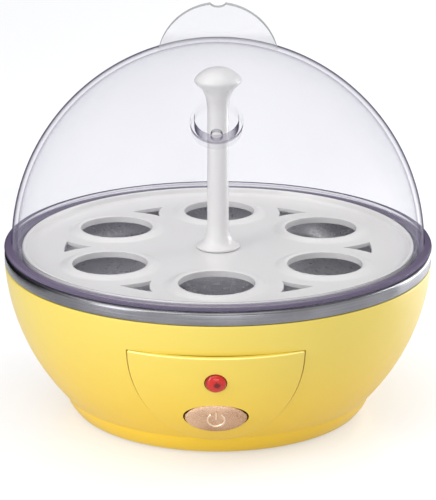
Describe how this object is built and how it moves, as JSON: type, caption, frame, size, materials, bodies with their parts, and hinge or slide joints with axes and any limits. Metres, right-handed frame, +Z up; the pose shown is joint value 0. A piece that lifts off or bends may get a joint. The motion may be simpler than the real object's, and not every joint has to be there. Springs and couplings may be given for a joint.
{
  "type": "egg cooker",
  "caption": "Round electric egg cooker: ball-shaped base with a steel water dish, a lift-out egg rack and a clear dome lid with a half-disc grip.",
  "frame": {"origin": "middle of the four feet, on the surface that the cooker stands on", "axes": "+Z up, the switch panel faces -Y, +X to the right seen from the front"},
  "size_m": [0.176, 0.1776, 0.169],
  "materials": {
    "yellow_plastic": "glossy",
    "clear_plastic": "polished",
    "white_plastic": "satin",
    "stainless_steel": "brushed",
    "aluminium": "cast",
    "rubber": "matte",
    "silicone": "matte",
    "red_lens": "polished",
    "rose_gold": "metallic satin",
    "black_plastic": "matte",
    "zinc_steel": "zinc plated",
    "lamp_glass": "polished",
    "wire_insulation": "matte"
  },
  "bodies": {
    "base": {"bottom_cover": "yellow_plastic", "control_panel": "yellow_plastic", "bowl_housing": "yellow_plastic", "switch_body": "black_plastic", "switch_bracket": "zinc_steel", "indicator_lens": "red_lens", "lens_retainer": "zinc_steel", "neon_lamp": "lamp_glass", "water_dish": "stainless_steel", "rim_seal": "silicone", "heater_plate": "aluminium", "heating_element": "stainless_steel", "mounting_strap": "zinc_steel", "strap_nut": "zinc_steel", "thermostat": "black_plastic", "thermal_fuse": "zinc_steel", "fuse_clip": "stainless_steel", "fuse_clip_screw": "zinc_steel", "cord_gland": "rubber", "cord_clamp": "white_plastic", "rubber_foot_1": "rubber", "rubber_foot_2": "rubber", "rubber_foot_3": "rubber", "rubber_foot_4": "rubber", "cover_screw_1": "zinc_steel", "cover_screw_2": "zinc_steel", "cover_screw_3": "zinc_steel", "bracket_screw_1": "zinc_steel", "element_pin_1": "zinc_steel", "strap_screw_1": "zinc_steel", "thermostat_screw_1": "zinc_steel", "clamp_screw_1": "zinc_steel", "splice_cap_1": "white_plastic", "bracket_screw_2": "zinc_steel", "element_pin_2": "zinc_steel", "strap_screw_2": "zinc_steel", "thermostat_screw_2": "zinc_steel", "clamp_screw_2": "zinc_steel", "splice_cap_2": "white_plastic", "mains_lead": "wire_insulation", "switch_lead": "wire_insulation", "fuse_lead": "wire_insulation", "thermostat_lead": "wire_insulation", "neutral_lead": "wire_insulation", "lamp_lead_1": "wire_insulation", "lamp_lead_2": "wire_insulation"},
    "tray": {"egg_tray": "white_plastic", "lifting_post": "white_plastic"},
    "lid": {"lid_dome": "clear_plastic", "lid_handle": "clear_plastic"},
    "button": {"power_button": "rose_gold", "switch_plunger": "white_plastic"}
  },
  "joints": [
    {"name": "rack_lift", "type": "slide", "parent": "base", "child": "tray", "axis": [0, 0, 1], "range_m": [0, 0.08]},
    {"name": "lid_lift", "type": "slide", "parent": "tray", "child": "lid", "axis": [0, 0, 1], "range_m": [0, 0.11]},
    {"name": "button_press", "type": "slide", "parent": "base", "child": "button", "axis": [0, 0.9272, 0.3746], "range_m": [0, 0.002], "stiffness_N_per_m": 600}
  ]
}
